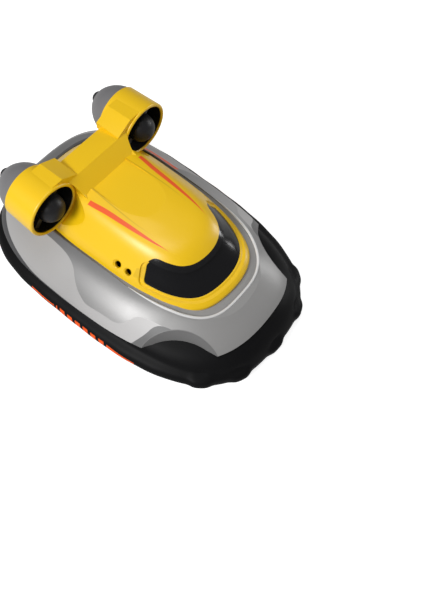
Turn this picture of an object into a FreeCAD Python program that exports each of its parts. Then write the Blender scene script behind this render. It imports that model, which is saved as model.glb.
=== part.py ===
import FreeCAD, Part
import math, os
from FreeCAD import Vector as V

os.makedirs("parts", exist_ok=True)

# ---------------------------------------------------------------- driving dimensions (mm)
# frame: Z up, ground at 0, bow towards -Y, stern towards +Y, port (left) is +X
HALF_BEAM = 64.2            # skirt at its fattest
BOW_Y, STERN_Y = -95.0, 95.5
WALL = 1.8                  # moulded shell wall
SKIRT_WALL = 2.0
WIDE_Y = 10.0               # where hull outlines are widest
N_BOW, N_STERN = 2.75, 3.3  # squareness of the hull ends
N_CABIN, N_CABIN_STERN, WIDE_CABIN = 3.0, 2.8, 16.0

FAN_X, FAN_Z = 37.0, 60.0   # fan axis
LIP_Y, DUCT_END = 37.0, 58.0
DUCT_R, DUCT_WALL = 17.0, 2.1
BORE_R = DUCT_R - DUCT_WALL
DUCT_TAPER = 1.1            # the duct narrows this much towards its nozzle
LIP_R = DUCT_WALL / 2
POD_R, POD_BORE = 8.4, 6.6
POD_Y0, POD_Y1 = 41.0, 51.6
BLADES, SPOKES = 6, 4
TIP_GAP = 0.9               # blade tip to duct wall
RUN_GAP = 0.05              # shaft in its bearing
SLIDE_GAP = 0.2             # switch knob in its guide
SHAFT_R = 0.75

TRAY_Z0, TRAY_Z1 = 8.0, 10.0
SCREW_SHANK_R, SCREW_HEAD_R, SCREW_HEAD_H = 1.25, 2.5, 1.5

# hull skirt rings: height, half width, bow, stern
SKIRT_RINGS = [
    (0.0, 60.6, -91.6, 92.4), (3.5, 63.2, -94.0, 94.9), (7.0, 64.2, -95.0, 95.5), (10.2, 62.2, -95.0, 95.0),
    (12.8, 57.6, -94.0, 93.6), (16.0, 55.0, -92.0, 91.6), (19.0, 51.0, -89.4, 89.0),
    (22.0, 44.2, -86.0, 83.0), (25.6, 34.0, -80.6, 68.0)]
# deck rings
DECK_RINGS = [
    (9.0, 60.4, -94.2, 97.2), (14.0, 58.8, -91.6, 95.0), (20.0, 56.2, -87.6, 92.0), (25.0, 52.2, -83.8, 88.0),
    (30.0, 47.2, -77.4, 82.5), (35.0, 42.4, -68.8, 76.5), (39.0, 39.6, -63.0, 72.0), (42.0, 37.6, -58.5, 68.0)]
# lower deck edge seen from the side, and the top it is trimmed to
EDGE = [(-99, 25.6), (-84, 24.9), (-80.9, 24.0), (-72.7, 22.0), (-50, 18.8), (-30.8, 17.0), (-13, 15.5),
        (17.6, 13.2), (52.5, 12.7), (60, 13.6), (70, 15.4), (80, 17.0), (99, 18.0)]
TOP = [(-99, 27.5), (-70, 34.2), (-66, 35.0), (-59, 36.6), (-53, 38.0), (-44, 39.6), (-30, 40.2),
       (8, 39.8), (35, 38.8), (60, 36.6), (80, 34.0), (99, 31.0)]
LEDGE_DROP = 1.0
# cabin rings
CABIN_RINGS = [
    (30.0, 38.4, -61.4, 75.6), (36.4, 38.0, -60.2, 74.0), (38.8, 37.3, -58.9, 72.6), (41.4, 36.0, -55.4, 70.8),
    (44.6, 34.5, -51.8, 68.2), (49.0, 31.4, -46.6, 64.6), (54.0, 27.9, -41.2, 60.6), (58.0, 24.5, -35.8, 56.8),
    (60.6, 20.4, -28.4, 52.6), (62.0, 14.0, -16.0, 48.0), (62.5, 6.0, -2.0, 42.0)]
GLASS_SINK, GLASS_WALL = 1.1, 1.4
SCREW_AT = [(24.0, -64.0), (46.0, 6.0), (40.0, 62.0)]


# ---------------------------------------------------------------- helpers
def spow(v, p):
    return math.copysign(abs(v) ** p, v)


def ring(z, w, bow, stern, n_bow=N_BOW, n_stern=N_STERN, wide=WIDE_Y, count=24):
    """Closed smooth hull outline at one height, its points evenly spaced."""
    fine = []
    for i in range(721):
        a = 2 * math.pi * i / 720
        s, c = math.sin(a), math.cos(a)
        n = n_stern if s >= 0 else n_bow
        reach = (stern - wide) if s >= 0 else (wide - bow)
        fine.append((w * spow(c, 2.0 / n), wide + reach * spow(s, 2.0 / n)))
    walk = [0.0]
    for (x0, y0), (x1, y1) in zip(fine[:-1], fine[1:]):
        walk.append(walk[-1] + math.hypot(x1 - x0, y1 - y0))
    pts, k = [], 0
    for i in range(count):
        d = walk[-1] * i / count
        while walk[k + 1] < d:
            k += 1
        t = (d - walk[k]) / (walk[k + 1] - walk[k])
        pts.append(V(fine[k][0] * (1 - t) + fine[k + 1][0] * t, fine[k][1] * (1 - t) + fine[k + 1][1] * t, z))
    curve = Part.BSplineCurve()
    curve.interpolate(Points=pts, PeriodicFlag=True, Parameters=[float(k) for k in range(count + 1)])
    return Part.Wire([curve.toShape()])


def stack(rings, inset=0.0, drop=0.0, **kw):
    """Smooth solid through a stack of rings, optionally shrunk by a wall."""
    wires = [ring(z - drop, w - inset, b + inset, s - inset, **kw) for z, w, b, s in rings]
    return Part.makeLoft(wires, True, False, False, 3)


def prism_x(pts, x0, x1):
    """Polygon in the Y-Z plane pushed along X."""
    p = [V(x0, y, z) for y, z in pts]
    return Part.Face(Part.makePolygon(p + p[:1])).extrude(V(x1 - x0, 0, 0))


def prism_y(pts, y0, y1):
    """Polygon in the X-Z plane pushed along Y."""
    p = [V(x, y0, z) for x, z in pts]
    return Part.Face(Part.makePolygon(p + p[:1])).extrude(V(0, y1 - y0, 0))


def box(x0, x1, y0, y1, z0, z1):
    return Part.makeBox(x1 - x0, y1 - y0, z1 - z0, V(x0, y0, z0))


def cyl(r, p, d, h):
    return Part.makeCylinder(r, h, V(*p), V(*d))


def turned(profile, x=FAN_X, z=FAN_Z):
    """Solid of revolution about the fan axis from (radius, y) points."""
    p = [V(x + r, y, z) for r, y in profile]
    face = Part.Face(Part.makePolygon(p + p[:1]))
    return face.revolve(V(x, 0, z), V(0, 1, 0), 360)


def arc_turned(start, arcs, closing, x=FAN_X, z=FAN_Z):
    """Solid of revolution whose outer line is a run of arcs, each given by a middle and an end (radius, y)."""
    at = lambda p: V(x + p[0], p[1], z)
    edges, last = [], start
    for middle, end in arcs:
        edges.append(Part.Arc(at(last), at(middle), at(end)).toShape())
        last = end
    for p in list(closing) + [start]:
        edges.append(Part.makeLine(at(last), at(p)))
        last = p
    return Part.Face(Part.Wire(edges)).revolve(V(x, 0, z), V(0, 1, 0), 360)


def mirrored(shape):
    return shape.mirror(V(0, 0, 0), V(1, 0, 0))


def biggest(shape):
    return sorted(shape.Solids, key=lambda s: s.Volume)[-1]


def save(name, shape):
    shape.exportStep("parts/%s.step" % name)
    print(name, len(shape.Solids), "solids", round(shape.Volume), "mm3", shape.isValid())


def both_sides(name, shape):
    """Port part as drawn, starboard part as its mirror image."""
    save("left_" + name, shape)
    save("right_" + name, mirrored(shape))


# ---------------------------------------------------------------- hull shells
above_edge = prism_x(EDGE + [(99, 70), (-99, 70)], -80, 80)
below_top = prism_x(TOP + [(99, -5), (-99, -5)], -80, 80)
below_ledge = prism_x([(y, z - LEDGE_DROP) for y, z in TOP] + [(99, -5), (-99, -5)], -80, 80)


def notch(grow=0.0):
    """Bow-corner scoops: upright cones that widen upwards, one per side."""
    r0, r1 = 39.2 + grow, 46.6 + grow
    cone = Part.makeCone(r0, r1, 40, V(74.0, -75.0, 10), V(0, 0, 1))
    return cone.fuse(mirrored(cone))


deck_solid = stack(DECK_RINGS)
deck_outer = deck_solid.common(above_edge).common(below_top).cut(notch())
deck_inner = stack(DECK_RINGS, inset=WALL, drop=0.4).common(below_ledge.translated(V(0, 0, -WALL))).cut(notch(WALL))
ledge = stack([(24, 38.9, -65.4, 75.6), (46, 38.9, -65.4, 75.6)], n_bow=3.1).cut(below_ledge)
cabin_hole = stack([(20, 34.0, -52.0, 68.0), (50, 34.0, -52.0, 68.0)])

boss = None
for sx in (1, -1):
    for x, y in SCREW_AT:
        b = cyl(3.4, (sx * x, y, TRAY_Z1), (0, 0, 1), 40)
        boss = b if boss is None else boss.fuse(b)
pilot = None
for sx in (1, -1):
    for x, y in SCREW_AT:
        b = cyl(SCREW_SHANK_R, (sx * x, y, TRAY_Z0 - 3), (0, 0, 1), 12)
        pilot = b if pilot is None else pilot.fuse(b)

deck = deck_outer.cut(deck_inner).cut(ledge).cut(cabin_hole)
deck = deck.fuse(boss.common(deck_inner.fuse(stack([(TRAY_Z1, 56, -88, 88), (18, 52, -84, 84)])))
                 .cut(cabin_hole)).cut(pilot)
deck = biggest(deck)

# ---------------------------------------------------------------- soft skirt
skirt_outer = stack(SKIRT_RINGS)
skirt_inner = stack([(-1.0, 58.0, -89.0, 89.8), (5.0, 61.4, -92.2, 92.9), (9.5, 60.6, -92.8, 92.8), (12.8, 55.6, -91.8, 91.4),
                     (18.0, 50.6, -88.0, 87.8), (22.0, 42.2, -84.0, 81.0)])
flange = skirt_outer.common(box(-70, 70, -99, 99, TRAY_Z1, TRAY_Z1 + 1.6))
flange = flange.cut(stack([(5, 52.0, -82.0, 82.0), (20, 52.0, -82.0, 82.0)])).cut(boss.fuse(boss))
skirt = skirt_outer.cut(skirt_inner).cut(above_edge.cut(notch())).fuse(flange)
skirt = biggest(skirt.cut(stack([(15, 27.0, -58, 58), (30, 27.0, -58, 58)])))

# ---------------------------------------------------------------- tray, hatch, battery, screws
tray = stack([(TRAY_Z0, 56.0, -87.0, 87.0), (TRAY_Z1, 56.0, -87.0, 87.0)])
HATCH = (-16.0, 16.0, -12.0, 44.0)
tray = tray.cut(box(HATCH[0], HATCH[1], HATCH[2], HATCH[3], 0, 20)).cut(pilot)
SWITCH_Y = 62.0
tray = tray.cut(box(-3.4, 3.4, SWITCH_Y - 1.3, SWITCH_Y + 1.3, 0, 20))
HATCH_SCREWS = [(0, HATCH[2] - 3.6), (0, HATCH[3] + 3.6)]
hatch_pilot = None
for x, y in HATCH_SCREWS:
    b = cyl(SCREW_SHANK_R, (x, y, 0), (0, 0, 1), 14)
    hatch_pilot = b if hatch_pilot is None else hatch_pilot.fuse(b)
for x, y in HATCH_SCREWS:
    tray = tray.fuse(cyl(3.0, (x, y, TRAY_Z1 - 0.5), (0, 0, 1), 4.5))
tray = tray.cut(hatch_pilot)
cover = box(HATCH[0] - 3, HATCH[1] + 3, HATCH[2] - 7, HATCH[3] + 7, TRAY_Z0 - 1.6, TRAY_Z0).cut(hatch_pilot)
for k in range(5):
    y = 8 + 4 * k
    cover = cover.cut(box(-9, 9, y - 0.8, y + 0.8, TRAY_Z0 - 2.0, TRAY_Z0 - 1.0))
battery = box(HATCH[0] + 0.8, HATCH[1] - 0.8, HATCH[2] + 0.8, HATCH[3] - 0.8, TRAY_Z0, TRAY_Z0 + 15.0)
battery = battery.makeFillet(2.0, [e for e in battery.Edges if abs(e.Vertexes[0].Z - e.Vertexes[1].Z) > 5])


def screw(x, y, z, length):
    """Pan head cross-slot screw driven upwards from z."""
    s = cyl(SCREW_HEAD_R, (x, y, z - SCREW_HEAD_H), (0, 0, 1), SCREW_HEAD_H).fuse(
        cyl(SCREW_SHANK_R, (x, y, z), (0, 0, 1), length))
    for a in (0, 90):
        c = box(-1.6, 1.6, -0.35, 0.35, z - SCREW_HEAD_H - 1, z - SCREW_HEAD_H + 0.7)
        c.rotate(V(0, 0, 0), V(0, 0, 1), a)
        s = s.cut(c.translated(V(x, y, 0)))
    return s


tray_screws = Part.makeCompound([screw(sx * x, y, TRAY_Z0, 7.5) for sx in (1, -1) for x, y in SCREW_AT])
hatch_screws = Part.makeCompound([screw(x, y, TRAY_Z0 - 1.6, 6.0) for x, y in HATCH_SCREWS])

# ---------------------------------------------------------------- switch
sw = box(-6.5, 6.5, SWITCH_Y - 3.4, SWITCH_Y + 3.4, TRAY_Z1, TRAY_Z1 + 5.2)
sw = sw.cut(box(-4.9, 4.9, SWITCH_Y - 1.9, SWITCH_Y + 1.9, TRAY_Z1 - 1, TRAY_Z1 + 3.4))
knob = box(-2.6, 2.6, SWITCH_Y - 1.9 + SLIDE_GAP, SWITCH_Y + 1.9 - SLIDE_GAP, TRAY_Z1 + SLIDE_GAP, TRAY_Z1 + 3.4 - SLIDE_GAP)
knob = knob.fuse(box(-1.3, 1.3, SWITCH_Y - 1.0, SWITCH_Y + 1.0, TRAY_Z0 - 1.6, TRAY_Z1 + 1.0))

# ---------------------------------------------------------------- circuit board
board = box(-17, 17, -50, -22, TRAY_Z1 + 4.0, TRAY_Z1 + 5.4)
for x in (-14, 14):
    for y in (-47, -25):
        board = board.cut(cyl(1.2, (x, y, 0), (0, 0, 1), 40))
board = board.fuse(box(-6, 4, -44, -34, TRAY_Z1 + 5.4, TRAY_Z1 + 7.2))
board = board.fuse(box(8, 13, -40, -34, TRAY_Z1 + 5.4, TRAY_Z1 + 8.6))
for x in (-14, 14):
    for y in (-47, -25):
        tray = tray.fuse(cyl(2.2, (x, y, TRAY_Z1 - 0.5), (0, 0, 1), 4.5))

# ---------------------------------------------------------------- cabin and windscreen
cabin_kw = dict(n_bow=N_CABIN, n_stern=N_CABIN_STERN, wide=WIDE_CABIN)
cabin_outer = stack(CABIN_RINGS, **cabin_kw)
cabin_inner = stack(CABIN_RINGS, inset=WALL, drop=WALL - 0.2, **cabin_kw)
# scoops that open the cabin's shoulders ahead of the ducts
SCOOP_R, SCOOP_RUN = 9.0, 17.0


def scoop(grow=0.0):
    s = Part.makeCone(SCOOP_R + 0.6 * grow, DUCT_R + grow, SCOOP_RUN + grow, V(FAN_X, LIP_Y - SCOOP_RUN - grow, FAN_Z),
                      V(0, 1, 0))
    s = s.fuse(Part.makeCylinder(DUCT_R + grow, 60, V(FAN_X, LIP_Y, FAN_Z), V(0, 1, 0)))
    return s.fuse(mirrored(s))


cabin_inner = cabin_inner.cut(scoop(WALL))
# flat spine let into the roof between two long creases, falling towards the wing
SPINE = [(-12.5, -22.0), (12.5, -22.0), (13.6, 0.0), (13.9, 16.0), (13.6, 58.0), (-13.6, 58.0), (-13.9, 16.0), (-13.6, 0.0)]
spine_zone = Part.Face(Part.makePolygon([V(x, y, 50) for x, y in SPINE + SPINE[:1]])).extrude(V(0, 0, 30))
spine_zone = spine_zone.cut(prism_x([(-40, 63.8), (31, 61.2), (60, 60.0), (60, 40), (-40, 40)], -20, 20))
cabin_outer = cabin_outer.cut(spine_zone).cut(scoop())
glass_outer = stack(CABIN_RINGS, inset=GLASS_SINK, drop=GLASS_SINK - 0.1, **cabin_kw)
glass_inner = stack(CABIN_RINGS, inset=GLASS_SINK + GLASS_WALL, drop=GLASS_SINK + GLASS_WALL - 0.2, **cabin_kw)
above_ledge_cut = below_ledge
GLASS = [(-70, 39.4), (-22.4, 42.6), (-18.6, 54.4), (-70, 49.0)]
glass_zone = prism_x(GLASS, -60, 60)
corners = [e for e in glass_zone.Edges if abs(e.Vertexes[0].X - e.Vertexes[-1].X) > 50 and e.Vertexes[0].Y > -40]
glass_zone = glass_zone.makeFillet(2.6, corners)
frame_zone = prism_x([(-70, 39.0), (-20.6, 41.6), (-15.4, 55.0), (-70, 49.0)], -60, 60)
corners = [e for e in frame_zone.Edges if abs(e.Vertexes[0].X - e.Vertexes[-1].X) > 50 and e.Vertexes[0].Y > -40]
frame_zone = frame_zone.makeFillet(3.6, corners)
frame_cut = frame_zone.cut(stack(CABIN_RINGS, inset=GLASS_SINK - 0.3, drop=GLASS_SINK - 0.4, **cabin_kw))
# two round portholes a side, each with a small bevel
HOLE_R, HOLE_BEVEL = 2.0, 0.9
ports = []
for sx in (1, -1):
    for y in (-4.8, -12.3):
        d = V(0.80 * sx, 0, 0.60)
        at = V(33.9 * sx, y, 44.9)
        ports.append(cyl(HOLE_R, at - d * 8, d, 16))
        ports.append(Part.makeCone(HOLE_R, HOLE_R + 2.4, 2.4, at - d * HOLE_BEVEL, d))
cabin = cabin_outer.cut(cabin_inner).cut(ports).cut(above_ledge_cut).cut(frame_cut).cut(glass_zone)
glass = glass_outer.cut(glass_inner).common(glass_zone)

# ---------------------------------------------------------------- tail wing
WING = [(29.6, 0.0), (31.2, 2.0), (38.4, 10.2), (52.6, 7.8), (55.6, 3.0), (54.0, -14.0), (31.0, -8.0)]     # heights from the fan axis
wing = prism_x([(y, FAN_Z + h) for y, h in WING], -23, 23)
fan_plug = turned([(0, 20), (DUCT_R, 20), (DUCT_R, LIP_Y + LIP_R), (DUCT_R - DUCT_TAPER, DUCT_END), (0, DUCT_END)])
# squared inboard shoulder of each duct, where the wing runs into it
shoulder_ends = []
for y, low in ((LIP_Y + 1.4, 0.2), (DUCT_END - 3.0, 0.2 + DUCT_TAPER)):
    top = FAN_Z + DUCT_R - low
    p = [V(FAN_X - 20.5, y, FAN_Z + 10.6), V(FAN_X - 10.2, y, top), V(FAN_X - 1, y, top), V(FAN_X, y, FAN_Z + 6),
         V(FAN_X - 13.0, y, FAN_Z), V(FAN_X - 17.2 + low, y, FAN_Z), V(FAN_X - 20.5, y, FAN_Z + 6)]
    shoulder_ends.append(Part.makePolygon(p + p[:1]))
shoulder = Part.makeLoft(shoulder_ends, True, True)
fan_block = fan_plug.fuse(shoulder)
HOLLOW = [(33.4, -2.0), (33.6, 1.8), (39.3, 8.2), (51.2, 6.2), (53.2, 2.6), (52.6, -16.0), (33.4, -10.0)]
hollow = prism_x([(y, FAN_Z + h) for y, h in HOLLOW], -17.5, 17.5)
# flared feet that carry the wing and the ducts on the cabin's shoulders
FOOT_Z0, FOOT_RISE, FOOT_TOP = 46.0, 22.0, 8.0      # foot in the shell, drawn rise, top above the fan axis
FOOT = [(22, 19.6, 45.0, 3.0, 7.0), (18, 20.2, 43.0, 4.0, 9.0), (15, 21.4, 41.0, 5.6, 12.5), (12, 22.8, 39.0, 7.2, 17.6),
        (8, 24.4, 38.0, 8.8, 20.4), (4, 26.0, 38.0, 9.8, 20.0), (0, 27.0, 38.4, 10.0, 18.0)]
FOOT_STEP = (FAN_Z + FOOT_TOP - FOOT_Z0) / FOOT_RISE


def oval(h, x, y, rx, ry):
    z = FOOT_Z0 + h * FOOT_STEP
    c = Part.Ellipse(V(x, y + ry, z), V(x + rx, y, z), V(x, y, z))
    return Part.Wire([c.toShape()])


foot = Part.makeLoft([oval(*f) for f in FOOT], True, False)
foot = foot.cut(box(0, 60, 55.5, 80, 30, 80))
wing = wing.fuse(foot).fuse(mirrored(foot))
wing = wing.cut(fan_block).cut(mirrored(fan_block)).cut(hollow).cut(cabin_outer)
wing = biggest(wing)

# ---------------------------------------------------------------- fan units (port side drawn)
duct = arc_turned((BORE_R, LIP_Y + LIP_R), [((BORE_R + LIP_R, LIP_Y), (DUCT_R, LIP_Y + LIP_R))],
                  [(DUCT_R - DUCT_TAPER, DUCT_END), (BORE_R, DUCT_END)])
bore = cyl(BORE_R, (FAN_X, 20, FAN_Z), (0, 1, 0), 60)
duct = duct.fuse(shoulder.cut(cyl(BORE_R + 1.0, (FAN_X, 20, FAN_Z), (0, 1, 0), 60)))

NOZZLE_R, NOZZLE_END_R, NOZZLE_WALL = DUCT_R - DUCT_TAPER - 0.6, 7.8, 1.3
NOZZLE_MID_R = 0.55 * NOZZLE_R + 0.45 * NOZZLE_END_R + 1.3
nozzle_wall = arc_turned((NOZZLE_R, DUCT_END), [((NOZZLE_MID_R, DUCT_END + 6.8), (NOZZLE_END_R, DUCT_END + 13.4))],
                         [(0, DUCT_END + 13.4), (0, DUCT_END)])
nozzle_void = arc_turned((NOZZLE_R - NOZZLE_WALL, DUCT_END - 1),
                         [((NOZZLE_MID_R - NOZZLE_WALL, DUCT_END + 6.2), (NOZZLE_END_R - NOZZLE_WALL, DUCT_END + 13.6))],
                         [(0, DUCT_END + 13.6), (0, DUCT_END - 1)])
nozzle = nozzle_wall.cut(nozzle_void)

mount = turned([(POD_BORE, POD_Y0), (POD_R, POD_Y0), (POD_R, POD_Y1), (1.8, POD_Y1), (1.8, POD_Y1 - 1.2), (POD_BORE, POD_Y1 - 1.2)])
for i in range(SPOKES):
    s = box(POD_R - 0.6, BORE_R + 0.2, POD_Y0 + 1.0, POD_Y0 + 6.0, -1.7, 1.7)
    s.rotate(V(0, 0, 0), V(0, 1, 0), 45 + 360.0 * i / SPOKES)
    mount = mount.fuse(s.translated(V(FAN_X, 0, FAN_Z)))
mount = mount.common(bore)
C45 = math.sqrt(0.5)
NOSE_Y = LIP_Y - 5.0 + POD_R
nose = arc_turned((POD_R, NOSE_Y), [((POD_R * C45, NOSE_Y - POD_R * C45), (0.0, NOSE_Y - POD_R))], [(0.0, POD_Y0), (POD_R, POD_Y0)])
motor = turned([(0, POD_Y0 + 0.4), (6.4, POD_Y0 + 0.4), (6.4, POD_Y1 - 1.2), (1.6, POD_Y1 - 1.2),
                (1.6, POD_Y1), (SHAFT_R + RUN_GAP, POD_Y1), (SHAFT_R + RUN_GAP, POD_Y0 + 4.0), (0, POD_Y0 + 4.0)])
motor = motor.fuse(turned([(POD_BORE, POD_Y0 + 0.6), (POD_BORE, POD_Y0 + 1.8), (6.2, POD_Y0 + 1.8), (6.2, POD_Y0 + 0.6)]))
HUB_Y0, HUB_Y1 = POD_Y1 + 0.6, POD_Y1 + 5.6
shaft = turned([(0, POD_Y0 + 4.3), (SHAFT_R, POD_Y0 + 4.3), (SHAFT_R, HUB_Y1 - 0.6), (0, HUB_Y1 - 0.6)])
prop = turned([(SHAFT_R, HUB_Y0), (5.4, HUB_Y0), (5.8, HUB_Y0 + 0.6), (5.8, HUB_Y1), (0, HUB_Y1), (0, HUB_Y1 - 0.6),
               (SHAFT_R, HUB_Y1 - 0.6)])
for i in range(BLADES):
    tip = BORE_R - TIP_GAP
    secs = []
    for r, ang, half in ((5.0, 52, 2.2), (9.5, 38, 2.7), (tip + 0.4, 28, 2.9)):
        a = math.radians(ang)
        cy = (HUB_Y0 + HUB_Y1) / 2
        ux, uy = math.cos(a), math.sin(a)
        t = 0.45
        q = [(-half, -t), (half, -t), (half, t), (-half, t)]
        p = [V(u * ux - v * uy, cy + (u * uy + v * ux), r) for u, v in q]
        secs.append(Part.makePolygon(p + p[:1]))
    blade = Part.makeLoft(secs, True, True)
    blade.rotate(V(0, 0, 0), V(0, 1, 0), 360.0 * i / BLADES)
    prop = prop.fuse(blade.translated(V(FAN_X, 0, FAN_Z)))
prop = prop.common(turned([(0, HUB_Y0), (BORE_R - TIP_GAP, HUB_Y0), (BORE_R - TIP_GAP, HUB_Y1), (0, HUB_Y1)]))
TAIL_R, TAIL_Y = 4.4, HUB_Y1 + 15.0
tail = arc_turned((TAIL_R, TAIL_Y), [((TAIL_R * C45, TAIL_Y + TAIL_R * C45), (0, TAIL_Y + TAIL_R))],
                  [(0, HUB_Y1), (5.8, HUB_Y1)])

# ---------------------------------------------------------------- out
save("skirt", skirt)
save("hull_tray", tray)
save("deck_shell", deck)
save("cabin_shell", biggest(cabin))
save("windscreen", glass)
save("tail_wing", wing)
save("battery", battery)
save("battery_cover", cover)
save("battery_cover_screws", hatch_screws)
save("tray_screws", tray_screws)
save("circuit_board", board)
save("switch_housing", sw)
save("switch_knob", knob)
both_sides("duct", duct)
both_sides("nozzle", nozzle)
both_sides("motor_mount", mount)
both_sides("nose_cone", nose)
both_sides("motor", motor)
both_sides("motor_shaft", shaft)
both_sides("propeller", prop)
both_sides("tail_cone", tail)
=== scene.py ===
import bpy, bmesh, math
from mathutils import Vector, Matrix


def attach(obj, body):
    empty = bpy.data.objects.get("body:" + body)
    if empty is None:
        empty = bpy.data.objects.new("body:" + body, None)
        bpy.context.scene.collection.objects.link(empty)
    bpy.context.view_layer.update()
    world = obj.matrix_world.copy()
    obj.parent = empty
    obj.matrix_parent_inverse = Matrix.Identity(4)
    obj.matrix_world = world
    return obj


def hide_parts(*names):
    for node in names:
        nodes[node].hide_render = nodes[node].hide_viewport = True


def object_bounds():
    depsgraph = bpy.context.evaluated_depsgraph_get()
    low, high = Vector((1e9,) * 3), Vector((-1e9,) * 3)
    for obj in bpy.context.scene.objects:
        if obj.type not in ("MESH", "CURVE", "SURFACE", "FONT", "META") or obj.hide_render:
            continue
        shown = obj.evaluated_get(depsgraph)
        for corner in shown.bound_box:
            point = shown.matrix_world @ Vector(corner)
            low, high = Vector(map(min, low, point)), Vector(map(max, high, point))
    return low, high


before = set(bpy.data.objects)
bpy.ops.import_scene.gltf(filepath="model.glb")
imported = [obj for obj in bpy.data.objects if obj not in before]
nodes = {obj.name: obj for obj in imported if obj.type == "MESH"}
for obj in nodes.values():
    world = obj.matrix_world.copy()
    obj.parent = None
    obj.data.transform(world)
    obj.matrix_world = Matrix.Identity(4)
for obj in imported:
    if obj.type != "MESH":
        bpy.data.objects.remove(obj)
cad_low, cad_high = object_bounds()
MM = 0.001
FAN_X, FAN_Z = 37.0, 60.0       # fan axis, mm

# ------------------------------------------------------------------ camera
CAMERA_AZIMUTH, CAMERA_ELEVATION, CAMERA_ROLL = -57.658, 62.948, 7.551
CAMERA_PLACE = (-0.17483, -0.15814, 0.41153)
CAMERA_FOCAL = 45.7278          # mm, on a sensor 36 mm along its long side


def aim_camera(azimuth, elevation, roll, place, focal):
    """Camera looking back along azimuth and elevation, turned about its own axis by roll."""
    a, e, r = (math.radians(v) for v in (azimuth, elevation, roll))
    back = Vector((math.sin(a) * math.cos(e), -math.cos(a) * math.cos(e), math.sin(e)))
    right = Vector((0, 0, 1)).cross(back).normalized()
    up = back.cross(right)
    right, up = right * math.cos(r) + up * math.sin(r), up * math.cos(r) - right * math.sin(r)
    data = bpy.data.cameras.new("boat_camera")
    data.lens = focal
    data.sensor_width = 36.0
    cam = bpy.data.objects.new("boat_camera", data)
    bpy.context.scene.collection.objects.link(cam)
    m = Matrix((right, up, back)).transposed().to_4x4()
    m.translation = Vector(place)
    cam.matrix_world = m
    bpy.context.scene.camera = cam


aim_camera(CAMERA_AZIMUTH, CAMERA_ELEVATION, CAMERA_ROLL, CAMERA_PLACE, CAMERA_FOCAL)
bpy.context.scene.view_settings.view_transform = "Standard"


# ------------------------------------------------------------------ node helpers
def link(tree, a, b):
    tree.links.new(a, b)


def set_or_link(tree, value, socket):
    """A plain number or colour is set on the socket; another node's output is linked to it."""
    if isinstance(value, (int, float, tuple)):
        socket.default_value = value
    else:
        link(tree, value, socket)


def group_sockets(name, inputs, outputs):
    g = bpy.data.node_groups.new(name, "ShaderNodeTree")
    for label, kind, value in inputs:
        s = g.interface.new_socket(name=label, in_out="INPUT", socket_type=kind)
        s.default_value = value
    for label, kind in outputs:
        g.interface.new_socket(name=label, in_out="OUTPUT", socket_type=kind)
    return g, g.nodes.new("NodeGroupInput"), g.nodes.new("NodeGroupOutput")


def math_node(tree, op, a, b=None, clamp=False, c=None):
    n = tree.nodes.new("ShaderNodeMath")
    n.operation = op
    n.use_clamp = clamp
    for value, socket in zip((a, b, c), n.inputs):
        if value is not None:
            set_or_link(tree, value, socket)
    return n.outputs[0]


def noise_node(tree, vector, scale, detail=3.0, rough=0.5):
    n = tree.nodes.new("ShaderNodeTexNoise")
    link(tree, vector, n.inputs["Vector"])
    set_or_link(tree, scale, n.inputs["Scale"])
    n.inputs["Detail"].default_value = detail
    n.inputs["Roughness"].default_value = rough
    return n.outputs["Fac"]


def mix_node(tree, mask, under, over):
    n = tree.nodes.new("ShaderNodeMix")
    n.data_type = "RGBA"
    link(tree, mask, n.inputs["Factor"])
    set_or_link(tree, under, n.inputs["A"])
    set_or_link(tree, over, n.inputs["B"])
    return n.outputs["Result"]


GRAIN_DEPTH = 0.0002
SPECK_START, SPECK_GAIN = 0.45, 2.2     # noise level where dust begins, and how fast it thickens


def make_moulded_grain():
    """Fine spark-eroded grain of a moulded face, with faint flow marks in its gloss."""
    g, i, o = group_sockets(
        "moulded_grain",
        [("Vector", "NodeSocketVector", (0, 0, 0)), ("Grain Scale", "NodeSocketFloat", 2600.0),
         ("Roughness", "NodeSocketFloat", 0.35), ("Spread", "NodeSocketFloat", 0.08)],
        [("Roughness", "NodeSocketFloat"), ("Height", "NodeSocketFloat")])
    fine = noise_node(g, i.outputs["Vector"], i.outputs["Grain Scale"], 2.0)
    flow = noise_node(g, i.outputs["Vector"], 38.0, 4.0, 0.6)
    off = math_node(g, "SUBTRACT", flow, 0.5)
    off = math_node(g, "MULTIPLY", off, i.outputs["Spread"])
    link(g, math_node(g, "ADD", off, i.outputs["Roughness"], True), o.inputs["Roughness"])
    link(g, fine, o.inputs["Height"])
    return g


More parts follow.
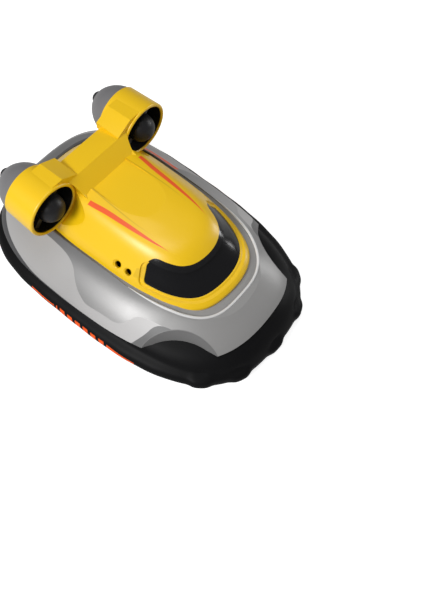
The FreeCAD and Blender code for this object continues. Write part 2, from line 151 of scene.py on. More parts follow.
def make_handled_tint():
    """Slight change of tone over the part, and light dust that settles on faces looking up."""
    g, i, o = group_sockets(
        "handled_tint",
        [("Vector", "NodeSocketVector", (0, 0, 0)), ("Color", "NodeSocketColor", (0.5, 0.5, 0.5, 1)),
         ("Mottle", "NodeSocketFloat", 0.05), ("Dust", "NodeSocketFloat", 0.04),
         ("Dust Color", "NodeSocketColor", (0.55, 0.53, 0.5, 1))],
        [("Color", "NodeSocketColor")])
    big = noise_node(g, i.outputs["Vector"], 26.0, 3.0, 0.55)
    gain = math_node(g, "MULTIPLY", math_node(g, "SUBTRACT", big, 0.5), i.outputs["Mottle"])
    gain = math_node(g, "ADD", gain, 1.0)
    scaled = g.nodes.new("ShaderNodeVectorMath")
    scaled.operation = "SCALE"
    link(g, i.outputs["Color"], scaled.inputs[0])
    link(g, gain, scaled.inputs["Scale"])
    geo = g.nodes.new("ShaderNodeNewGeometry")
    sep = g.nodes.new("ShaderNodeSeparateXYZ")
    link(g, geo.outputs["Normal"], sep.inputs[0])
    up = math_node(g, "MAXIMUM", sep.outputs["Z"], 0.0)
    specks = noise_node(g, i.outputs["Vector"], 420.0, 5.0, 0.7)
    specks = math_node(g, "MULTIPLY", math_node(g, "SUBTRACT", specks, SPECK_START, True), SPECK_GAIN)
    amount = math_node(g, "MULTIPLY", math_node(g, "MULTIPLY", up, specks), i.outputs["Dust"], True)
    link(g, mix_node(g, amount, scaled.outputs[0], i.outputs["Dust Color"]), o.inputs["Color"])
    return g


GRAIN, TINT = make_moulded_grain(), make_handled_tint()


# ------------------------------------------------------------------ marks and painted shade over a base colour
def axes(tree, vector):
    """Position in millimetres: x to port, y to the stern, z up."""
    sep = tree.nodes.new("ShaderNodeSeparateXYZ")
    link(tree, vector, sep.inputs[0])
    return [math_node(tree, "MULTIPLY", sep.outputs[k], 1000.0) for k in "XYZ"]


LINE_START, LINE_LENGTH, LINE_TALL = -100.0, 200.0, 70.0


def drawn_line(tree, along, points):
    """A drawn curve: its value in millimetres at each place along the boat."""
    t = math_node(tree, "DIVIDE", math_node(tree, "SUBTRACT", along, LINE_START), LINE_LENGTH)
    n = tree.nodes.new("ShaderNodeFloatCurve")
    c = n.mapping.curves[0]
    pts = [((a - LINE_START) / LINE_LENGTH, v / LINE_TALL) for a, v in points]
    c.points[0].location, c.points[-1].location = pts[0], pts[-1]
    for p in pts[1:-1]:
        c.points.new(*p)
    n.mapping.use_clip = False
    n.mapping.update()
    link(tree, t, n.inputs["Value"])
    return math_node(tree, "MULTIPLY", n.outputs[0], LINE_TALL)


def above(tree, value, limit, soft=0.12):
    """1 where value passes limit; the edge between 0 and 1 is soft millimetres wide."""
    d = math_node(tree, "SUBTRACT", value, limit)
    return math_node(tree, "ADD", math_node(tree, "DIVIDE", d, soft), 0.5, True)


def both(tree, *masks):
    """Where all the masks hold; a plain number among them weakens the mark."""
    out = masks[0]
    for m in masks[1:]:
        out = math_node(tree, "MULTIPLY", out, m)
    return out


def between(tree, value, low, high):
    """1 where value lies between low and high."""
    return math_node(tree, "MULTIPLY", above(tree, value, low), above(tree, high, value))


def distance(tree, across, up, place):
    """Distance in one plane from a place to every point."""
    a = math_node(tree, "SUBTRACT", across, place[0])
    b = math_node(tree, "SUBTRACT", up, place[1])
    squares = math_node(tree, "ADD", math_node(tree, "MULTIPLY", a, a), math_node(tree, "MULTIPLY", b, b))
    return math_node(tree, "SQRT", squares)


ORANGE = (0.85, 0.105, 0.018, 1)
# painted shade: the stern, crown and bow greys darken the deck where less light falls on it
STERN_SHADE_GREY = (0.12, 0.12, 0.122, 1)
CROWN_SHADE_GREY = (0.15, 0.15, 0.152, 1)
BOW_SHADE_GREY = (0.285, 0.281, 0.278, 1)
# pale flash print; its aft colour is darker as painted shade
FLASH_FORE, FLASH_AFT_SHADED = (0.6, 0.59, 0.588, 1), (0.37, 0.363, 0.36, 1)
# painted shade on the step facet and on the notch's conical wall
STEP_SHADE_GREY = (0.14, 0.14, 0.14, 1)
NOTCH_SHADE_GREY = (0.17, 0.168, 0.168, 1)
# painted shadow along the deck's lower rim, over the skirt
RIM_SHADE_BLACK = (0.045, 0.045, 0.048, 1)
# painted shade in the roof creases and on the bevel behind the pane
CREASE_SHADE_OCHRE = (0.42, 0.25, 0.003, 1)
BEVEL_SHADE_OCHRE = (0.4, 0.25, 0.004, 1)
PANE_BLACK = (0.005, 0.005, 0.006, 1)
# painted shade deep inside each duct's bore
DUCT_SHADE_BLACK = (0.012, 0.012, 0.013, 1)

# limits of the marks, mm: y runs from bow to stern, z up, and "side" is the distance from the centre plane
NOTCH_CENTRE = (74.0, -75.0)            # side and y
NOTCH_RADIUS, NOTCH_FLARE = 37.65, 0.185    # radius at z = 0, and what each millimetre up adds
FLASH_BOW_Y, STEP_END_Y = -43.8, -25.0
# soft marks, most of them painted shade: where each is half there, and how wide its edge is
STERN_SHADE_FADE, BOW_FADE, FLASH_SHADE_FADE = (5.0, 90.0), (-33.0, 20.0), (-30.0, 90.0)
CROWN_SHADE_RISE, CROWN_SHADE_RUN = (35.0, 7.0), (-48.0, 30.0)
STERN_SHADE_WEIGHT, CROWN_SHADE_WEIGHT, CREASE_SHADE_WEIGHT, BEVEL_SHADE_WEIGHT, BOW_CALM = 0.95, 0.5, 0.55, 0.3, 0.85
PORT_BAR_SIDE, PORT_BAR_Y, PORT_BAR_Z = 40.9, (17.0, 52.0), (32.2, 38.0)
STRIPE_Y, STRIPE_FOOT_Z = (-27.0, 26.6), 55.0
# painted shade in the roof creases: its half width, foot height and strength
CREASE_HALF, CREASE_FOOT_Z = 0.32, 58.0
CREASE_SHADE_FADE, CREASE_SHADE_AT_ORIGIN = 0.04, 0.62      # strength gained per millimetre to the stern, and at y = 0
PANE_LEAN, PANE_BOW, PANE_STERN_Y, PANE_FOOT_Z = 0.35, -38.7, -19.2, 48.0
# painted shade on the bevel behind the pane
BEVEL_Y, BEVEL_FOOT_Z = (-23.5, -15.8), 44.4
DUCT_LIP_RADIUS, DUCT_LIP_Y = 15.25, 37.9
SKIRT_SIDE = 54.0
THIN_Y, THIN_Z = (20.0, 38.5), (7.2, 8.2)
DASH_Y, DASH_Z, DASH_LEAN, DASH_PITCH, DASH_GAP = (-18.6, 18.5), (4.6, 9.0), -0.55, 3.0, 1.1
TAPER_Y, TAPER_FOOT_Z, TAPER_TOP_Z, TAPER_SLOPE = (-39.5, -20.4), 6.2, 9.6, 0.05

# lines on the deck's side: (place along the boat, height)
FLASH_TOP = [
    (-100, 30.0), (-44, 31.0), (-35, 31.1), (-31, 30.6), (-28.5, 29.5), (-26.2, 27.2), (-23, 24.0),
    (-19, 22.5), (-12.4, 22.2), (-5, 21.7), (1, 21.3), (5.9, 22.7), (10.9, 25.2), (15, 28.2), (18.3, 31.0),
    (23.4, 33.4), (29.3, 34.6), (36, 34.9), (43, 34.6), (60, 32.8), (78, 28.5), (100, 18)]
STEP_TOP = [
    (-100, 8), (-76, 21), (-73.4, 23.7), (-68.5, 26.2), (-62.5, 29.3), (-59.9, 30.3), (-52.3, 30.7),
    (-44, 31.0), (-40.9, 30.0), (-37.8, 25.0), (-34.5, 19.6), (-33.3, 17.6), (-31.7, 16.4), (-29.8, 15.9),
    (-20, 12.0), (100, 4)]
RIM_TOP = [
    (-100, 8), (-38, 11), (-34, 14.2), (-30, 15.2), (-22, 15.6), (-8, 15.2), (8, 14.2), (25, 13.9),
    (42, 14.3), (51, 16.2), (64, 19.0), (79, 22.0), (100, 23.0)]


def flash_mask(tree, y, z):
    """Pale flash along the side, between its wavy top line and the step round the notch."""
    below_top = above(tree, drawn_line(tree, y, FLASH_TOP), z)
    clear_of_step = above(tree, z, drawn_line(tree, y, STEP_TOP))
    return both(tree, below_top, clear_of_step, above(tree, y, FLASH_BOW_Y))


def step_mask(tree, y, z):
    """Step facet that frames the notch, where painted shade darkens the deck."""
    return both(tree, above(tree, drawn_line(tree, y, STEP_TOP), z), above(tree, STEP_END_Y, y))


def bow_mask(tree, y):
    """Bow part of the deck, with a long soft edge."""
    return above(tree, BOW_FADE[0], y, BOW_FADE[1])


def deck_calm(tree, where):
    """Where the deck's silver sheen gives way to plain plastic: the flash, the step and the bow."""
    _, y, z = axes(tree, where)
    marks = math_node(tree, "ADD", flash_mask(tree, y, z), step_mask(tree, y, z))
    return math_node(tree, "MAXIMUM", both(tree, bow_mask(tree, y), BOW_CALM), marks)


def deck_marks(tree, where, base):
    """Painted shade on the stern, crown, bow, step, notch wall and lower rim; the pale flash print, darker
    aft as painted shade; and the port side's orange bar.
    """
    x, y, z = axes(tree, where)
    side = math_node(tree, "ABSOLUTE", x)
    # painted shade darkens the stern and the crown next to the cabin
    stern = both(tree, above(tree, y, *STERN_SHADE_FADE), STERN_SHADE_WEIGHT)
    crown_shade = both(tree, above(tree, z, *CROWN_SHADE_RISE), above(tree, y, *CROWN_SHADE_RUN), CROWN_SHADE_WEIGHT)
    # the flash print darkens towards the stern: painted shade
    flash = mix_node(tree, above(tree, y, *FLASH_SHADE_FADE), FLASH_FORE, FLASH_AFT_SHADED)
    # painted shade on the notch's conical wall
    cone = math_node(tree, "ADD", math_node(tree, "MULTIPLY", z, NOTCH_FLARE), NOTCH_RADIUS)
    notch_shade = above(tree, cone, distance(tree, side, y, NOTCH_CENTRE), 0.3)
    # painted shadow along the deck's lower rim
    rim_shade = above(tree, drawn_line(tree, y, RIM_TOP), z)
    bar = both(tree, above(tree, x, PORT_BAR_SIDE), between(tree, y, *PORT_BAR_Y),
               between(tree, z, *PORT_BAR_Z))
    # painted shade: stern, crown, bow, step, notch wall and rim; the flash is print, darker aft as painted
    # shade; the bar is print
    for mask, colour in (
            (stern, STERN_SHADE_GREY), (crown_shade, CROWN_SHADE_GREY), (bow_mask(tree, y), BOW_SHADE_GREY),
            (flash_mask(tree, y, z), flash), (step_mask(tree, y, z), STEP_SHADE_GREY), (notch_shade, NOTCH_SHADE_GREY),
            (rim_shade, RIM_SHADE_BLACK), (bar, ORANGE)):
        base = mix_node(tree, mask, base, colour)
    return base


# lines on the cabin: (place along the boat, distance from the centre plane), and heights for the pane
STRIPE_IN = [
    (-100, 15.7), (-27, 15.7), (-17, 16.5), (-8, 17.0), (3, 17.5), (16, 18.2), (27, 19.5), (100, 19.5)]
STRIPE_OUT = [
    (-100, 15.7), (-27, 15.7), (-17, 17.6), (-8, 18.9), (3, 20.0), (14.4, 20.9), (26.3, 22.1), (100, 22.1)]
CREASE = [(-100, 14.0), (-14, 14.6), (-3, 15.2), (9, 15.0), (18, 14.6), (29, 13.9), (100, 13.8)]
PANE_TOP = [
    (-100, 51.5), (-54, 52.0), (-40.8, 54.2), (-37.5, 54.9), (-34.4, 55.4), (-29, 56.2), (-22.5, 56.6),
    (-20.6, 55.2), (-19.6, 54.0), (-18.8, 50), (100, 40)]


def pane_mask(tree, where):
    """Black surround that carries the pane's outline up over the edge of the roof."""
    _, y, z = axes(tree, where)
    slanted = math_node(tree, "SUBTRACT", y, math_node(tree, "MULTIPLY", z, PANE_LEAN))
    ends = both(tree, above(tree, PANE_BOW, slanted), above(tree, PANE_STERN_Y, y))
    return both(tree, ends, above(tree, drawn_line(tree, y, PANE_TOP), z), above(tree, z, PANE_FOOT_Z))


def cabin_marks(tree, where, base):
    """Painted shade in the roof creases and on the bevel behind the pane, the pane's black surround and
    orange side stripes.
    """
    x, y, z = axes(tree, where)
    side = math_node(tree, "ABSOLUTE", x)
    off_line = math_node(tree, "ABSOLUTE", math_node(tree, "SUBTRACT", side, drawn_line(tree, y, CREASE)))
    # painted shade in the roof creases, stronger towards the stern
    fade = math_node(tree, "MULTIPLY_ADD", y, CREASE_SHADE_FADE, True, CREASE_SHADE_AT_ORIGIN)
    crease_shade = both(tree, above(tree, CREASE_HALF, off_line, 0.5), above(tree, z, CREASE_FOOT_Z), fade,
                  CREASE_SHADE_WEIGHT)
    # painted shade on the bevel behind the pane
    bevel_shade = both(tree, above(tree, BEVEL_Y[1], y, 0.6), above(tree, drawn_line(tree, y, PANE_TOP), z, 0.5),
                 above(tree, z, BEVEL_FOOT_Z, 1.0), above(tree, y, BEVEL_Y[0]), BEVEL_SHADE_WEIGHT)
    stripe = both(tree, above(tree, side, drawn_line(tree, y, STRIPE_IN)),
                  above(tree, drawn_line(tree, y, STRIPE_OUT), side), between(tree, y, *STRIPE_Y),
                  above(tree, z, STRIPE_FOOT_Z))
    for mask, colour in ((crease_shade, CREASE_SHADE_OCHRE), (bevel_shade, BEVEL_SHADE_OCHRE), (pane_mask(tree, where), PANE_BLACK),
                         (stripe, ORANGE)):
        base = mix_node(tree, mask, base, colour)
    return base


def duct_marks(tree, where, base):
    """Painted shade: the inside of each duct is painted black behind its yellow lip, for the shade deep in
    the bore.
    """
    x, y, z = axes(tree, where)
    side = math_node(tree, "ABSOLUTE", x)
    radius = distance(tree, side, z, (FAN_X, FAN_Z))
    # painted shade: black deep in the bore behind the lip
    bore_shade = both(tree, above(tree, DUCT_LIP_RADIUS, radius, 0.3), above(tree, y, DUCT_LIP_Y, 0.5))
    return mix_node(tree, bore_shade, base, DUCT_SHADE_BLACK)


def skirt_marks(tree, where, base):
    """Plain orange line, slanted dashes and a tapering bar on each side of the skirt."""
    x, y, z = axes(tree, where)
    side = math_node(tree, "ABSOLUTE", x)
    thin = both(tree, between(tree, y, *THIN_Y), between(tree, z, *THIN_Z))
    slant = math_node(tree, "ADD", y, math_node(tree, "MULTIPLY", z, DASH_LEAN))
    beat = math_node(tree, "PINGPONG", math_node(tree, "ADD", slant, 20 * DASH_PITCH), DASH_PITCH)
    dash = both(tree, above(tree, beat, DASH_GAP), between(tree, y, *DASH_Y), between(tree, z, *DASH_Z))
    top = math_node(tree, "ADD", math_node(tree, "MULTIPLY", y, TAPER_SLOPE), TAPER_TOP_Z)
    taper = both(tree, between(tree, y, *TAPER_Y), between(tree, z, TAPER_FOOT_Z, top))
    marks = math_node(tree, "MAXIMUM", math_node(tree, "MAXIMUM", thin, dash), taper)
    return mix_node(tree, both(tree, marks, above(tree, side, SKIRT_SIDE)), base, ORANGE)


# ------------------------------------------------------------------ finishes
def finish(name, color, rough, grain=2600.0, bump=0.04, spread=0.08, mottle=0.05, dust=0.03, metallic=0.0,
           coat=0.0, coat_rough=0.1, specular=0.5, paint=None, calm=None, calm_rough=0.4):
    """One moulded or metal finish. paint(tree, vector, colour) may lay marks over the base colour.
    calm(tree, vector) gives a mask where coat and metal sheen stop and the roughness is calm_rough."""
    m = bpy.data.materials.new(name)
    m.use_nodes = True
    t = m.node_tree
    t.nodes.clear()
    out = t.nodes.new("ShaderNodeOutputMaterial")
    shader = t.nodes.new("ShaderNodeBsdfPrincipled")
    shader.inputs["Metallic"].default_value = metallic
    shader.inputs["Specular IOR Level"].default_value = specular
    shader.inputs["Coat Weight"].default_value = coat
    shader.inputs["Coat Roughness"].default_value = coat_rough
    link(t, shader.outputs[0], out.inputs[0])
    where = t.nodes.new("ShaderNodeTexCoord").outputs["Object"]
    tint = t.nodes.new("ShaderNodeGroup")
    tint.node_tree = TINT
    link(t, where, tint.inputs["Vector"])
    set_or_link(t, paint(t, where, (*color, 1)) if paint else (*color, 1), tint.inputs["Color"])
    tint.inputs["Mottle"].default_value = mottle
    tint.inputs["Dust"].default_value = dust
    link(t, tint.outputs["Color"], shader.inputs["Base Color"])
    surface = t.nodes.new("ShaderNodeGroup")
    surface.node_tree = GRAIN
    link(t, where, surface.inputs["Vector"])
    surface.inputs["Grain Scale"].default_value = grain
    surface.inputs["Roughness"].default_value = rough
    surface.inputs["Spread"].default_value = spread
    if calm:
        keep = math_node(t, "SUBTRACT", 1.0, calm(t, where))
        level = math_node(t, "MULTIPLY_ADD", keep, rough - calm_rough, c=calm_rough)
        link(t, level, surface.inputs["Roughness"])
        for label, full in (("Coat Weight", coat), ("Metallic", metallic)):
            if full:
                link(t, math_node(t, "MULTIPLY", keep, full), shader.inputs[label])
    link(t, surface.outputs["Roughness"], shader.inputs["Roughness"])
    relief = t.nodes.new("ShaderNodeBump")
    relief.inputs["Strength"].default_value = bump
    relief.inputs["Distance"].default_value = GRAIN_DEPTH
    link(t, surface.outputs["Height"], relief.inputs["Height"])
    link(t, relief.outputs[0], shader.inputs["Normal"])
    return m


YELLOW = dict(color=(0.86, 0.535, 0.004), rough=0.36, mottle=0.03, dust=0.012, coat=0.12, coat_rough=0.25)
YELLOW_MOULDING = finish("yellow_moulding", **YELLOW)
CABIN_MOULDING = finish("cabin_moulding", **YELLOW, paint=cabin_marks, calm=pane_mask, calm_rough=0.16)
DUCT_MOULDING = finish("duct_moulding", **YELLOW, paint=duct_marks)
DECK_MOULDING = finish("deck_moulding", (0.48, 0.474, 0.47), 0.41, bump=0.06, mottle=0.04, metallic=0.55,
                       paint=deck_marks, calm=deck_calm, calm_rough=0.42)
# the bead's grey is lighter than the deck's: a painted highlight along the bead
BEAD_HIGHLIGHT_MOULDING = finish("bead_painted_highlight", (0.66, 0.655, 0.65), 0.4, bump=0.03, mottle=0.02)
SKIRT_FILM = finish("skirt_film", (0.006, 0.006, 0.0065), 0.46, grain=1500.0, bump=0.12, spread=0.12,
                    dust=0.003, specular=0.07, paint=skirt_marks)
WINDSCREEN_GLOSS = finish("windscreen_gloss", (0.006, 0.006, 0.007), 0.16, bump=0.0, spread=0.05,
                          mottle=0.0, dust=0.004, specular=0.35)
BLACK_MOULDING = finish("black_moulding", (0.012, 0.012, 0.0135), 0.42, bump=0.05, specular=0.3, dust=0.01)
BLADE_MOULDING = finish("blade_moulding", (0.035, 0.035, 0.038), 0.34, bump=0.04, dust=0.02)
NOZZLE_MOULDING = finish("nozzle_moulding", (0.17, 0.167, 0.172), 0.42, bump=0.08)
TRAY_MOULDING = finish("tray_moulding", (0.02, 0.02, 0.021), 0.55, bump=0.15)
BRIGHT_STEEL = finish("bright_steel", (0.55, 0.55, 0.57), 0.3, grain=900.0, bump=0.03, metallic=1.0, dust=0.0)
CELL_WRAP = finish("cell_wrap", (0.03, 0.08, 0.3), 0.3, bump=0.05)
BOARD_RESIST = finish("board_resist", (0.01, 0.12, 0.04), 0.35, bump=0.1)

NODE_FINISH = {
    "skirt": SKIRT_FILM, "hull_tray": TRAY_MOULDING, "deck_shell": DECK_MOULDING,
    "cabin_shell": CABIN_MOULDING, "windscreen": WINDSCREEN_GLOSS, "tail_wing": YELLOW_MOULDING,
    "battery": CELL_WRAP, "battery_cover": TRAY_MOULDING, "battery_cover_screws": BRIGHT_STEEL,
    "tray_screws": BRIGHT_STEEL, "circuit_board": BOARD_RESIST,
    "switch_housing": BLACK_MOULDING, "switch_knob": BLACK_MOULDING}
for side in ("left_", "right_"):
    NODE_FINISH.update({
        side + "duct": DUCT_MOULDING, side + "nozzle": NOZZLE_MOULDING, side + "motor_mount": BLADE_MOULDING,
        side + "nose_cone": BLACK_MOULDING, side + "motor": BRIGHT_STEEL, side + "motor_shaft": BRIGHT_STEEL,
        side + "propeller": BLADE_MOULDING, side + "tail_cone": BLACK_MOULDING})
for name, material in NODE_FINISH.items():
    for material_slot in nodes[name].material_slots:
        material_slot.material = material


# ------------------------------------------------------------------ mesh helpers
FINE_STEPS = 1440


def signed_power(v, p):
    return math.copysign(abs(v) ** p, v)


def outline(half, bow, stern, bow_power, stern_power, widest, count):
    """Evenly spaced points of one hull outline, starting at the widest point on the port side."""
    fine = []
    for i in range(FINE_STEPS + 1):
        a = 2 * math.pi * i / FINE_STEPS
        s, c = math.sin(a), math.cos(a)
        n = stern_power if s >= 0 else bow_power
        reach = (stern - widest) if s >= 0 else (widest - bow)
        fine.append((half * signed_power(c, 2 / n), widest + reach * signed_power(s, 2 / n)))
    walk = [0.0]
    for (x0, y0), (x1, y1) in zip(fine[:-1], fine[1:]):
        walk.append(walk[-1] + math.hypot(x1 - x0, y1 - y0))
    pts, k = [], 0
    for i in range(count):
        d = walk[-1] * i / count
        while walk[k + 1] < d:
            k += 1
        t = (d - walk[k]) / (walk[k + 1] - walk[k])
        pts.append((fine[k][0] * (1 - t) + fine[k + 1][0] * t, fine[k][1] * (1 - t) + fine[k + 1][1] * t))
    return pts


def between_rows(a, b, c, d, t):
    """Smooth value at t, from 0 at b to 1 at c; a and d are the neighbours."""
    square, cube = (2 * a - 5 * b + 4 * c - d) * t * t, (3 * b - a - 3 * c + d) * t ** 3
    return 0.5 * (2 * b + (c - a) * t + square + cube)


def through(rows, steps):
    """Smooth values through a short list of key rows."""
    out = []
    last = len(rows) - 1
    for i in range(last):
        keys = [rows[max(0, min(last, i + k))] for k in (-1, 0, 1, 2)]
        for j in range(steps):
            out.append(tuple(between_rows(*column, j / steps) for column in zip(*keys)))
    out.append(tuple(rows[-1]))
    return out


def tube_mesh(name, rows, body, material):
    """Closed skin through rows of points; the rows and the points in a row both run round and close."""
    me = bpy.data.meshes.new(name)
    n, m = len(rows), len(rows[0])
    verts = [v for r in rows for v in r]
    faces = [(i * m + j, i * m + (j + 1) % m, ((i + 1) % n) * m + (j + 1) % m, ((i + 1) % n) * m + j)
             for i in range(n) for j in range(m)]
    me.from_pydata(verts, [], faces)
    me.polygons.foreach_set("use_smooth", [True] * len(me.polygons))
    o = bpy.data.objects.new(name, me)
    bpy.context.scene.collection.objects.link(o)
    me.materials.append(material)
    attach(o, body)
    return o


def facing_out(me):
    bm = bmesh.new()
    bm.from_mesh(me)
    bmesh.ops.recalc_face_normals(bm, faces=bm.faces)
    bm.to_mesh(me)
    bm.free()


# ------------------------------------------------------------------ soft skirt
WIDEST_Y, STERN_POWER = 10.0, 3.3       # shared by the skirt and the cabin's seat
SKIRT_BOW_POWER, SKIRT_WALL, SKIRT_POINTS = 2.75, 2.0, 420
# height, half width, bow and stern, mm
SKIRT_ROWS = [
    (0.0, 60.6, -91.6, 92.4), (1.4, 62.0, -92.9, 93.8), (3.5, 63.2, -94.0, 94.9), (7.0, 64.2, -95.0, 95.5),
    (10.2, 62.2, -95.0, 95.0), (12.8, 57.6, -94.0, 93.6), (16.0, 55.0, -92.0, 91.6),
    (19.0, 51.0, -89.4, 89.0), (22.0, 44.2, -86.0, 83.0), (25.6, 34.0, -80.6, 68.0)]
LOBES = [(0.0, -94.6), (27.6, -90.6), (-27.6, -90.6), (45.2, -75.6), (-45.2, -75.6)]
LOBE_PUSH, LOBE_REACH, LOBE_Z, LOBE_TALL = 1.9, 6.2, 8.6, 3.6
CREVICE_PUSH, CREVICE_REACH, CREVICE_Z, CREVICE_TALL = 0.9, 4.6, 13.6, 1.5
SWELL_PUSH, SWELL_Z, SWELL_TALL = 0.10, 8, 6
SWELL_ALONG, SWELL_BEND, SWELL_ACROSS = 0.33, 1.1, 0.12


def film_push(x, y, z):
    """How far the slack film stands out from its plain wall, mm: lobes at the bow and long shallow swells."""
    push = 0.0
    for lx, ly in LOBES:
        flat = math.hypot(x - lx, y - ly)
        push += LOBE_PUSH * math.exp(-(flat / LOBE_REACH) ** 4) * math.exp(-((z - LOBE_Z) / LOBE_TALL) ** 4)
        over = math.exp(-((z - CREVICE_Z) / CREVICE_TALL) ** 2)
        push -= CREVICE_PUSH * math.exp(-(flat / CREVICE_REACH) ** 4) * over
    wave = math.sin(y * SWELL_ALONG + SWELL_BEND * math.sin(x * SWELL_ACROSS))
    return push + SWELL_PUSH * wave * math.exp(-((z - SWELL_Z) / SWELL_TALL) ** 2)


def build_skirt():
    outer = [(row, True) for row in through(SKIRT_ROWS, 5)]
    inner = [((z, w - SKIRT_WALL, b + SKIRT_WALL, s - SKIRT_WALL), False)
             for z, w, b, s in reversed(through(SKIRT_ROWS[:-1], 2))]
    rows = []
    for (z, w, b, s), outside in outer + inner:
        pts = outline(w, b, s, SKIRT_BOW_POWER, STERN_POWER, WIDEST_Y, SKIRT_POINTS)
        row = []
        for k, (x, y) in enumerate(pts):
            xa, ya = pts[k - 1]
            xb, yb = pts[(k + 1) % len(pts)]
            size = math.hypot(yb - ya, xa - xb)
            push = film_push(x, y, z) if outside else 0.0
            row.append(((x + (yb - ya) / size * push) * MM, (y + (xa - xb) / size * push) * MM, z * MM))
        rows.append(row)
    o = tube_mesh("skirt_skin", rows, "hull", SKIRT_FILM)
    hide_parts("skirt")


build_skirt()

# ------------------------------------------------------------------ bead round the cabin's seat
SEAT_HALF, SEAT_BOW, SEAT_STERN, SEAT_BOW_POWER, SEAT_POINTS = 38.9, -65.4, 75.6, 3.1, 720
SEAT_BEAD_END_Y = -16.0
SEAT_SINK = 0.12                        # how deep the bead's centre line lies under the seat's edge
# y and height along the seat's edge, mm
SEAT_EDGE = [
    (-70, 34.2), (-66, 35.0), (-59, 36.6), (-53, 38.0), (-44, 39.6), (-30, 40.2), (8, 39.8), (35, 38.8)]
BEAD_RADIUS, BEAD_RUN_OUT, BEAD_SIDES = 0.8 * MM, 0.16, 12


def height_at(line, y):
    """Height at y on a line of (y, height) points."""
    for (y0, z0), (y1, z1) in zip(line[:-1], line[1:]):
        if y <= y1:
            return z0 + (z1 - z0) * (y - y0) / (y1 - y0)


def seat_path():
    """Centre line of the rounded bead that runs round the bow end of the cabin's seat."""
    ring = outline(SEAT_HALF, SEAT_BOW, SEAT_STERN, SEAT_BOW_POWER, STERN_POWER, WIDEST_Y, SEAT_POINTS)
    path = [p for p in ring if p[1] < SEAT_BEAD_END_Y]
    path.sort(key=lambda p: math.atan2(p[1] - WIDEST_Y, p[0]))
    verts = [(x * MM, y * MM, (height_at(SEAT_EDGE, y) - SEAT_SINK) * MM) for x, y in path]
    me = bpy.data.meshes.new("seat_path")
    me.from_pydata(verts, [(k, k + 1) for k in range(len(verts) - 1)], [])
    return me


# ------------------------------------------------------------------ geometry trees
def geometry_tree(name, inputs):
    g = bpy.data.node_groups.new(name, "GeometryNodeTree")
    g.interface.new_socket(name="Geometry", in_out="INPUT", socket_type="NodeSocketGeometry")
    for label, kind, value in inputs:
        sock = g.interface.new_socket(name=label, in_out="INPUT", socket_type=kind)
        sock.default_value = value
    g.interface.new_socket(name="Geometry", in_out="OUTPUT", socket_type="NodeSocketGeometry")
    return g, g.nodes.new("NodeGroupInput"), g.nodes.new("NodeGroupOutput")


def end_tree(g, last, material, out):
    """Every tree closes with real geometry in one material."""
    smooth = g.nodes.new("GeometryNodeSetShadeSmooth")
    real = g.nodes.new("GeometryNodeRealizeInstances")
    paint = g.nodes.new("GeometryNodeSetMaterial")
    paint.inputs["Material"].default_value = material
    link(g, last, real.inputs[0])
    link(g, real.outputs[0], smooth.inputs[0])
    link(g, smooth.outputs[0], paint.inputs["Geometry"])
    link(g, paint.outputs[0], out.inputs[0])


def grow(name, seed, tree, values, body, instead=None):
    """Run a tree over a seed mesh and keep the plain result as one piece of a body."""
    o = bpy.data.objects.new(name, seed)
    bpy.context.scene.collection.objects.link(o)
    mod = o.modifiers.new("grow", "NODES")
    mod.node_group = tree
    for item in tree.interface.items_tree:
        if item.item_type == "SOCKET" and item.in_out == "INPUT" and item.name in values:
            mod[item.identifier] = values[item.name]
    me = bpy.data.meshes.new_from_object(o.evaluated_get(bpy.context.evaluated_depsgraph_get()))
    me.name = name
    o.modifiers.clear()
    o.data = me
    facing_out(me)
    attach(o, body)
    if instead:
        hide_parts(instead)


def bead_tree():
    g, inp, out = geometry_tree("bead_along_path", [
        ("Bead Radius", "NodeSocketFloat", BEAD_RADIUS), ("Run Out", "NodeSocketFloat", BEAD_RUN_OUT),
        ("Sides", "NodeSocketInt", BEAD_SIDES)])
    curve = g.nodes.new("GeometryNodeMeshToCurve")
    link(g, inp.outputs["Geometry"], curve.inputs[0])
    along = g.nodes.new("GeometryNodeSplineParameter").outputs["Factor"]
    edge = math_node(g, "MINIMUM", along, math_node(g, "SUBTRACT", 1.0, along))
    rise = math_node(g, "ADD", math_node(g, "DIVIDE", edge, inp.outputs["Run Out"]), 0.02, True)
    ring = g.nodes.new("GeometryNodeCurvePrimitiveCircle")
    link(g, inp.outputs["Sides"], ring.inputs["Resolution"])
    link(g, inp.outputs["Bead Radius"], ring.inputs["Radius"])
    sweep = g.nodes.new("GeometryNodeCurveToMesh")
    link(g, curve.outputs[0], sweep.inputs["Curve"])
    link(g, ring.outputs[0], sweep.inputs["Profile Curve"])
    link(g, math_node(g, "POWER", rise, 0.7), sweep.inputs["Scale"])
    sweep.inputs["Fill Caps"].default_value = True
    end_tree(g, sweep.outputs[0], BEAD_HIGHLIGHT_MOULDING, out)
    return g


grow("seat_bead", seat_path(), bead_tree(),
     {"Bead Radius": BEAD_RADIUS, "Run Out": BEAD_RUN_OUT, "Sides": BEAD_SIDES}, "hull")


# ------------------------------------------------------------------ fan rotors
BLADES, BLADE_ROWS, BLADE_SIDES = 6, 9, 14
BLADE_ROOT, BLADE_TIP = 5.0, 14.0
BLADE_PITCH, BLADE_TWIST, BLADE_TWIST_POWER = 52, 24, 0.8       # degrees at the root, and what the tip loses
BLADE_HALF_CHORD, BLADE_WIDENING, BLADE_TIP_CHORD = 2.1, 0.9, 0.86
BLADE_HALF_THICK, BLADE_THINNING, BLADE_CAMBER = 0.42, 0.25, 0.35
HUB_RADIUS, HUB_LENGTH, HUB_Y, HUB_FACETS = 5.75 * MM, 4.9 * MM, 54.7, 48


